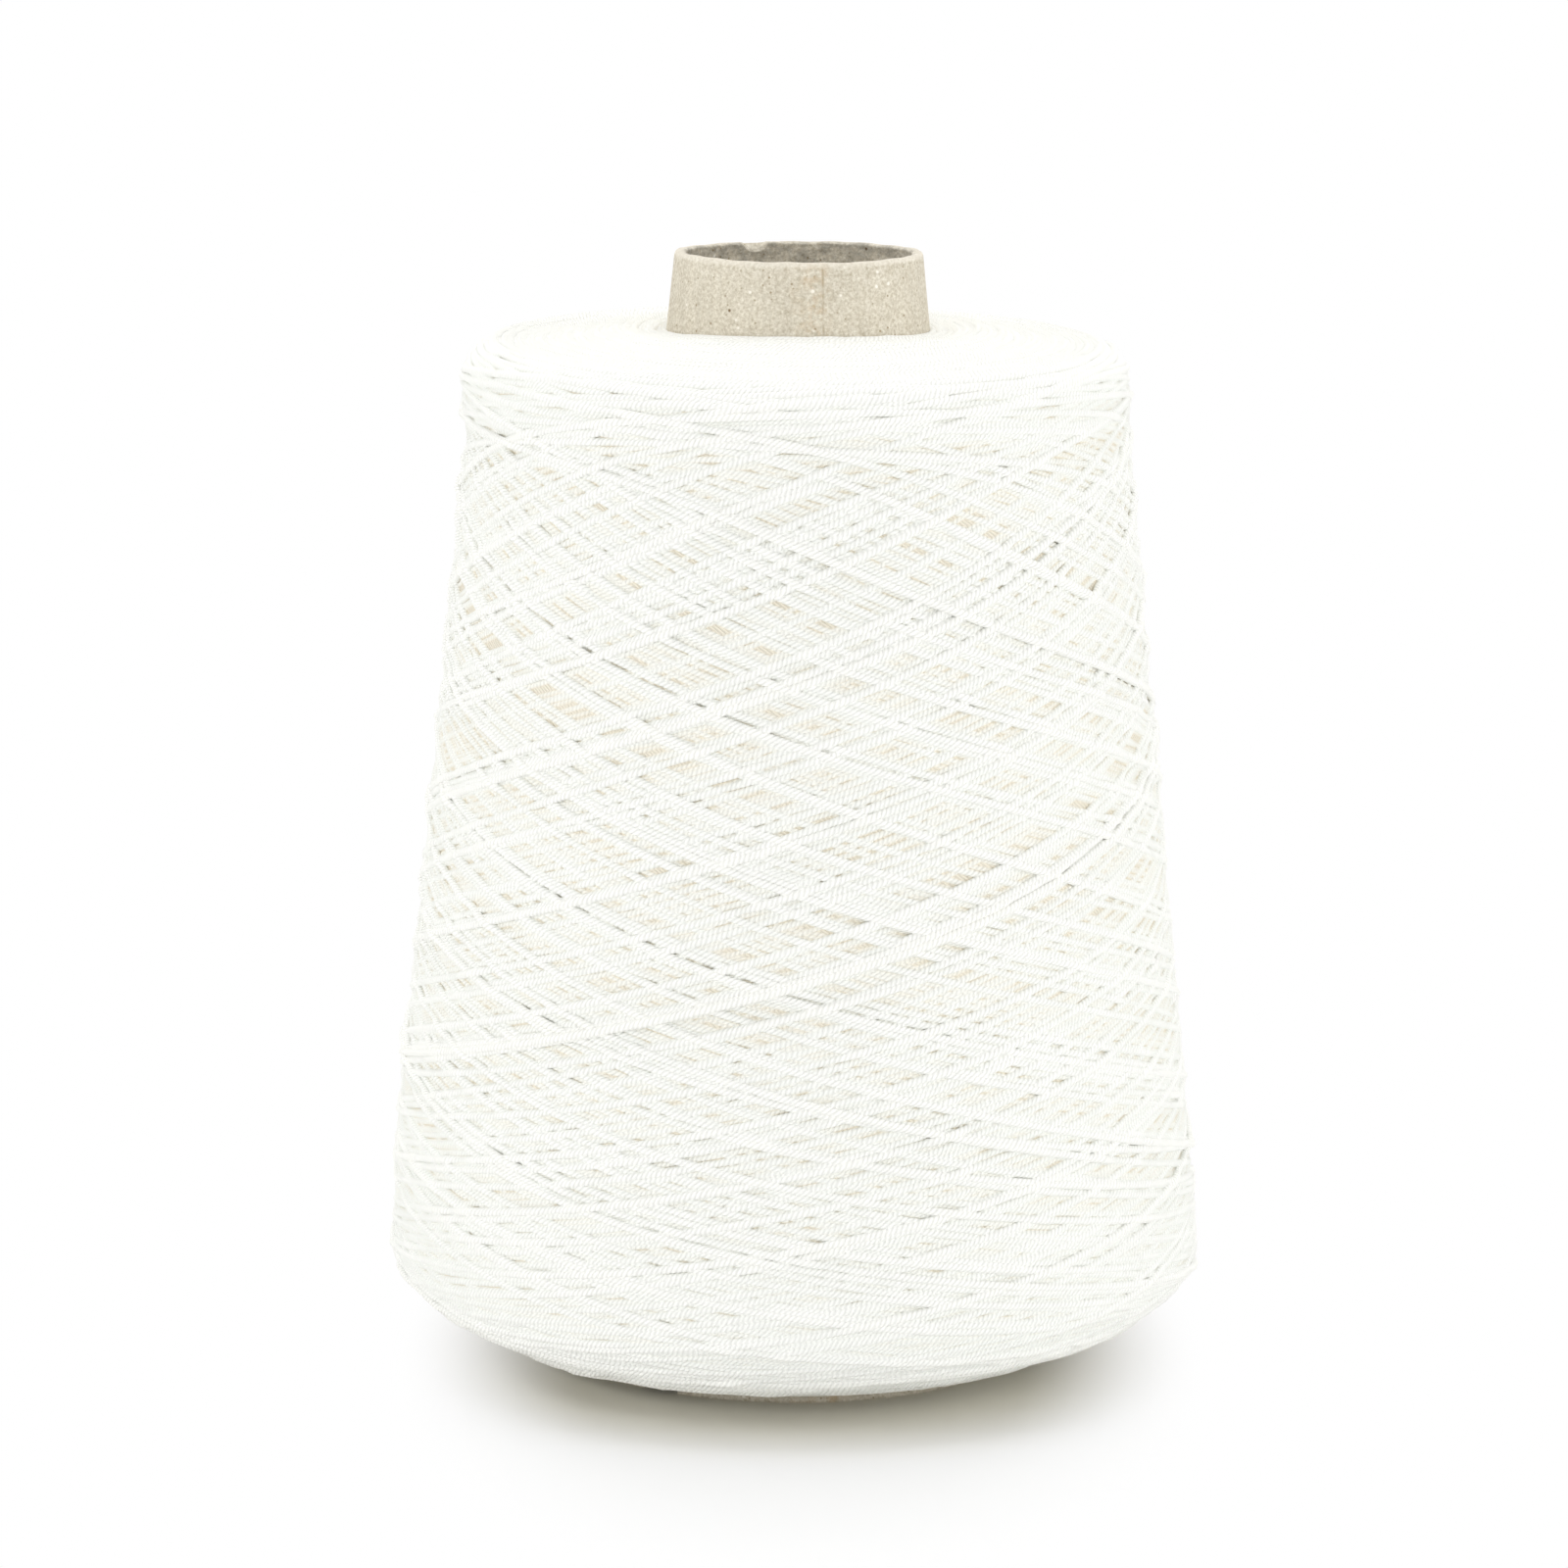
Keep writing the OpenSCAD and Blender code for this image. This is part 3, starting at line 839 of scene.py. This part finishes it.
def thread_piece(name, some_lines, radius=THREAD_RADIUS, sides=SIDES, plied=True):
    """One mesh of round thread along some lines. Its UV map holds millimetres along and turns round.

    A single ply isn't plied itself, so all of its UV map lies on the top of a ridge.
    """
    curve = bpy.data.curves.new(name, "CURVE")
    curve.dimensions = "3D"
    curve.bevel_depth = radius * MM
    # A bevel has four sides, and two more for each step of its resolution
    curve.bevel_resolution = sides // 2 - 2
    for line in some_lines:
        spline = curve.splines.new("POLY")
        spline.points.add(len(line) - 1)
        points = np.column_stack([line[:, :3], np.ones(len(line))])
        spline.points.foreach_set("co", points.astype(np.float32).ravel())
        girth = np.ones(len(line), np.float32)
        girth[[0, -1]] = END_GIRTH
        spline.points.foreach_set("radius", girth)
    shape = bpy.data.objects.new(name + "_line", curve)
    bpy.context.scene.collection.objects.link(shape)
    mesh = bpy.data.meshes.new_from_object(shape.evaluated_get(bpy.context.evaluated_depsgraph_get()))
    bpy.data.objects.remove(shape)
    uv = np.empty(2 * len(mesh.loops), np.float32)
    mesh.uv_layers[0].data.foreach_get("uv", uv)
    if plied:
        corners = [4 * sides * (len(line) - 1) for line in some_lines]
        lengths = np.array([(len(line) - 1) * RING_STEP * ROUTE_STEP for line in some_lines])
        uv[0::2] *= np.repeat(lengths, corners)
    else:
        uv[0::2] = PLY_TWIST / PLIES / 2
        uv[1::2] = 0
    mesh.uv_layers[0].data.foreach_set("uv", uv)
    set_depth(mesh, np.repeat(np.concatenate(some_lines)[:, 3], sides))
    mesh.materials.append(cotton)
    piece = bpy.data.objects.new(name, mesh)
    bpy.context.scene.collection.objects.link(piece)
    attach(piece, "root")
    return piece


batches = [[]]
points_in_batch = 0
for line in lines:
    if points_in_batch + len(line) > PIECE_POINTS:
        batches.append([])
        points_in_batch = 0
    batches[-1].append(line)
    points_in_batch += len(line)
thread_pieces = [thread_piece(f"thread_turns_{k + 1}", batch) for k, batch in enumerate(batches)]
thread_piece(
    "thread_turns_at_edges", plies_round(*FOOT_RIM) + plies_round(*NOSE_RIM),
    radius=PLY_RADIUS, sides=PLY_SIDES, plied=False,
)
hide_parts("outer_winding")


# --- Thread: the turns beneath --------------------------------------------------------------
# The turns further in can't be told apart. They are one body of the same yarn under the others,
# a sheet wrapped to the package's outline and drawn in by the depth of the turns that show. It
# lies on the paper at both ends.
BED_COLUMNS = 180
BED_ROWS = 170
BED_DEPTH = 0.75
BED_GAP = 0.05

bm = bmesh.new()
bmesh.ops.create_grid(bm, x_segments=BED_COLUMNS, y_segments=BED_ROWS, size=0.5)
twist = bm.loops.layers.uv.new("UVMap")
unrolled = {}
for v in bm.verts:
    angle = 2 * math.pi * (v.co.x + 0.5)
    s = outline_length * (v.co.y + 0.5)
    # It lies closer under the turns at both ends, where they are pressed firmer.
    out = wound_form(angle, s) - BED_DEPTH * np.interp(s, *zip(*FIRMNESS)) ** 0.5
    radius, height = off_outline(s, out)
    radius = max(radius, paper_radius(height) + BED_GAP)
    # The UV map reads as level turns of thread that lie one above the other.
    unrolled[v] = (radius * angle, height / (2 * THREAD_RADIUS))
    v.co = (radius * math.cos(angle) * MM, radius * math.sin(angle) * MM, height * MM)
for face in bm.faces:
    for corner in face.loops:
        corner[twist].uv = unrolled[corner.vert]
bmesh.ops.remove_doubles(bm, verts=bm.verts, dist=0.01 * MM)
bmesh.ops.recalc_face_normals(bm, faces=bm.faces)
thread_bed = piece_from(bm, "thread_inner_turns")
# Its depth puts it well into the thread's painted shade, so the slits down to it show warm and dark.
deep = thread_bed.data.attributes.new("depth", "FLOAT", "POINT")
deep.data.foreach_set("value", np.full(len(thread_bed.data.vertices), BED_DEPTH, np.float32))
thread_bed.data.materials.append(cotton)
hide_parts("thread_core")
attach(thread_bed, "root")


# --- Studio ---------------------------------------------------------------------------------
# A white floor in a pale room. One soft box hangs above and a little behind, so that the shadow
# falls forwards, and three stand low, at the sides and in front. Away from the cone the floor
# gives way to a clean white, which only camera, glossy and transmission rays see.
FLOOR_RADIUS = 8000.0
# Distances in front between which the floor turns white, their share at the sides, and how far
# to the right their middle lies
WHITE_FROM = 88.0
WHITE_AT = 165.0
SIDE_REACH = 0.385
SIDE_SHIFT = 1.5
# Distances from the cone's axis between which the floor's paint turns warmer and darker: painted bounce light
# from the thread and painted shade round its foot
BOUNCE_SHADE_FROM = 72.0
BOUNCE_SHADE_AT = 42.0
ROOM_LIGHT = 0.74

bm = bmesh.new()
bmesh.ops.create_circle(bm, cap_ends=True, segments=96, radius=FLOOR_RADIUS * MM)
floor = piece_from(bm, "floor")
paint, tree, output = new_material("white_floor_paint")
place = add_node(tree, "TexCoord").outputs["Object"]
oval = add_node(
    tree, "Mapping",
    {"Location": (-SIDE_SHIFT * MM / SIDE_REACH, 0, 0), "Scale": (1 / SIDE_REACH, 1, 1)}, {"Vector": place},
)
reach = add_node(tree, "VectorMath", links={0: oval.outputs["Vector"]}, operation="LENGTH")
outer = add_node(
    tree, "MapRange", {"From Min": WHITE_FROM * MM, "From Max": WHITE_AT * MM},
    {"Value": reach.outputs["Value"]}, interpolation_type="SMOOTHSTEP",
)
rays = add_node(tree, "LightPath").outputs
seen = add_node(
    tree, "Math", links={0: rays["Is Camera Ray"], 1: rays["Is Glossy Ray"]}, operation="MAXIMUM"
)
seen = add_node(
    tree, "Math", links={0: seen.outputs[0], 1: rays["Is Transmission Ray"]}, operation="MAXIMUM"
)
white = add_node(
    tree, "Math", links={0: seen.outputs[0], 1: outer.outputs["Result"]}, operation="MULTIPLY"
)
# Painted bounce light and shade: close to the foot the floor's paint is warmer and darker.
near = add_node(tree, "VectorMath", links={0: place}, operation="LENGTH")
painted_bounce_shade = add_node(
    tree, "MapRange", {"From Min": BOUNCE_SHADE_FROM * MM, "From Max": BOUNCE_SHADE_AT * MM},
    {"Value": near.outputs["Value"]}, interpolation_type="SMOOTHSTEP",
)
tint = add_node(
    tree, "Mix", {"A": from_srgb("#F1F1F1"), "B": from_srgb("#EBE8DC")}, {"Factor": painted_bounce_shade.outputs["Result"]},
    data_type="RGBA",
)
matt = add_node(tree, "BsdfDiffuse", links={"Color": tint.outputs["Result"]})
clean = add_node(tree, "Emission", {"Color": (1, 1, 1, 1), "Strength": 1})
mix = add_node(tree, "MixShader", links={0: white.outputs[0], 1: matt.outputs[0], 2: clean.outputs[0]})
tree.links.new(mix.outputs[0], output.inputs["Surface"])
floor.data.materials.append(paint)

world = bpy.data.worlds.new("room")
bpy.context.scene.world = world
world.use_nodes = True
world.node_tree.nodes["Background"].inputs["Color"].default_value = (1, 1, 1, 1)
world.node_tree.nodes["Background"].inputs["Strength"].default_value = ROOM_LIGHT


def soft_box(name, place, aim, size, power):
    """A square area lamp aimed at a point, in metres and watts."""
    lamp = bpy.data.objects.new(name, bpy.data.lights.new(name, "AREA"))
    lamp.data.size = size
    lamp.data.energy = power
    lamp.location = place
    lamp.rotation_mode = "QUATERNION"
    lamp.rotation_quaternion = (Vector(aim) - Vector(place)).to_track_quat("-Z", "Y")
    bpy.context.scene.collection.objects.link(lamp)


soft_box("overhead_box", place=(0, 0.4, 1.5), aim=(0, 0, 0.1), size=1.4, power=10)
soft_box("front_box", place=(0, -1.7, 0.45), aim=(0, 0, 0.07), size=0.9, power=5.6)
soft_box("left_box", place=(-1.6, -0.3, 0.35), aim=(0, 0, 0.05), size=0.9, power=6.2)
soft_box("right_box", place=(1.6, -0.3, 0.35), aim=(0, 0, 0.05), size=0.9, power=6.5)
bpy.context.scene.view_settings.view_transform = "Standard"
